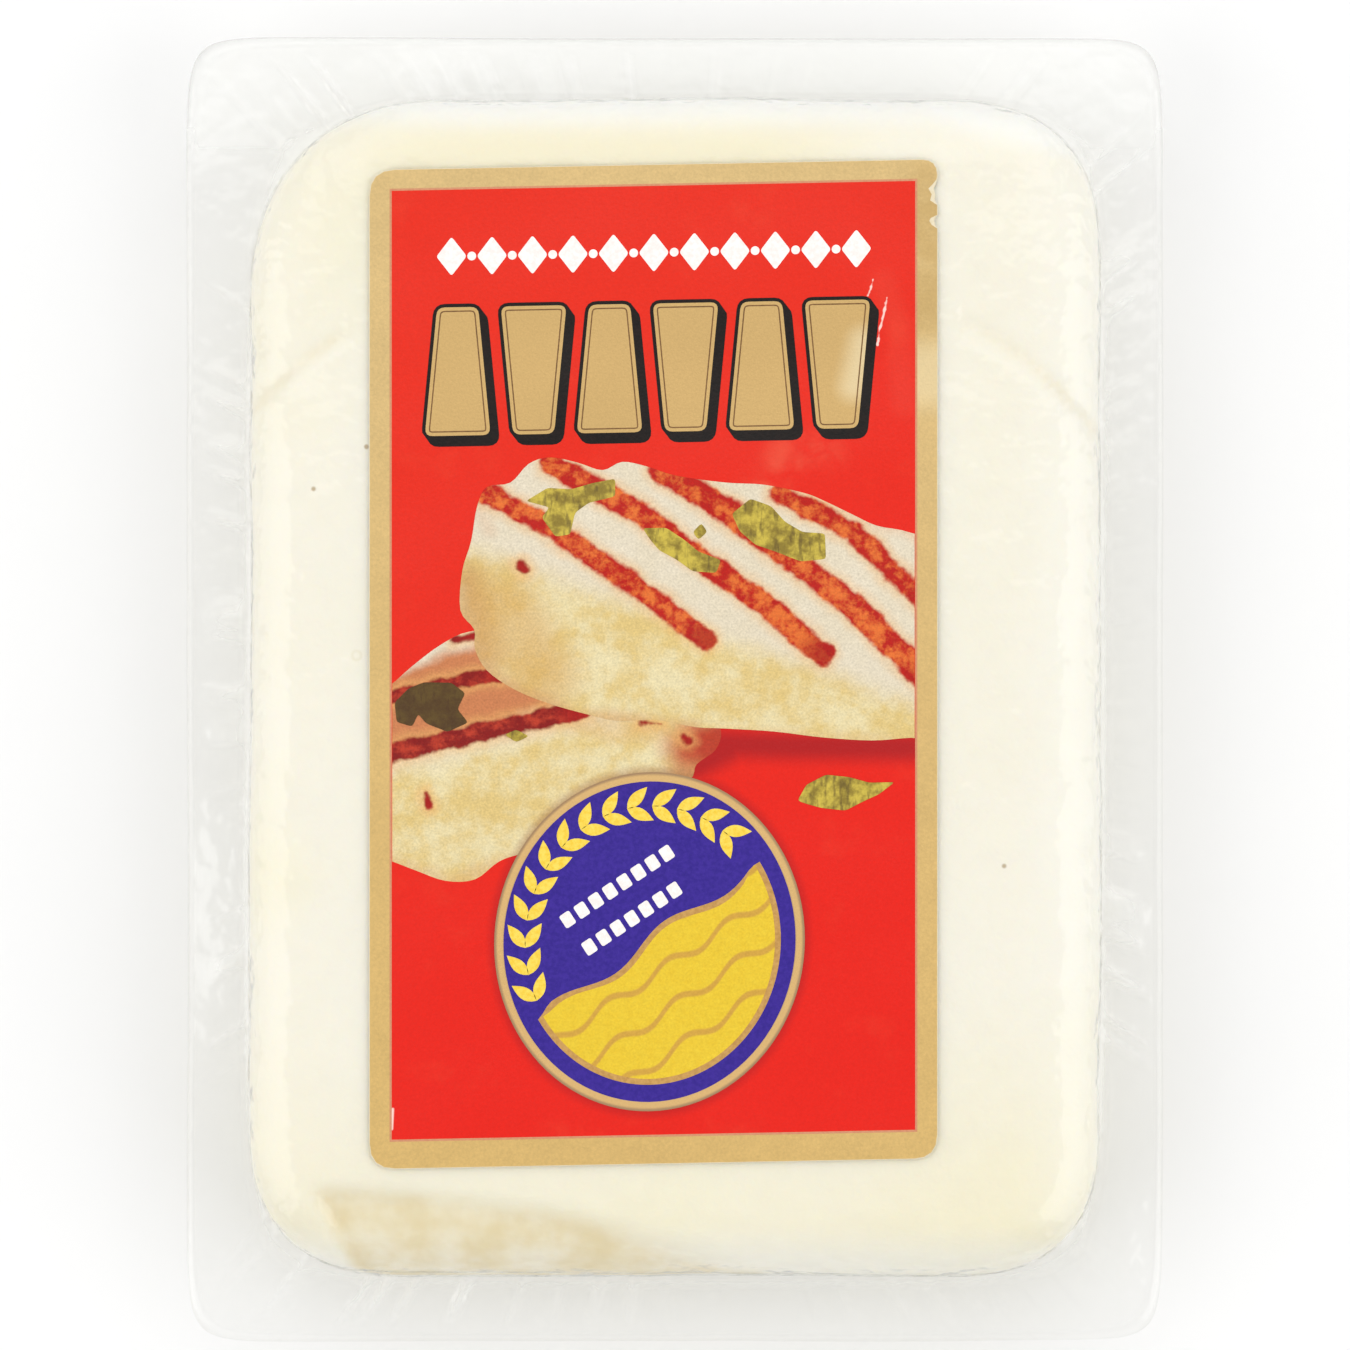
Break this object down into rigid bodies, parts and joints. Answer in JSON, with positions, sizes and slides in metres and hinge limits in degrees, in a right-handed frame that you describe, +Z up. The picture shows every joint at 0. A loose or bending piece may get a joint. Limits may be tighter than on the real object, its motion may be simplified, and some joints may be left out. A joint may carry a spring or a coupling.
{
  "type": "vacuum-packed halloumi block",
  "caption": "Flat rounded block of pale cheese, vacuum packed in clear film with a sealed border, and a printed label stuck on its level top.",
  "frame": {"origin": "on the table, under the middle of the pack", "axes": "+Z up through the label, +Y towards the label's head along the pack's length, +X to the label's right"},
  "size_m": [0.102, 0.136, 0.0222],
  "materials": {
    "clear_film": "clear glossy film drawn tight over pale cream cheese",
    "cheese": "moist pale cream cheese, softly mottled",
    "label_print": "coated paper printed red and gold, satin"
  },
  "bodies": {
    "root": {"bag": "clear_film", "label": "label_print"}
  },
  "joints": []
}
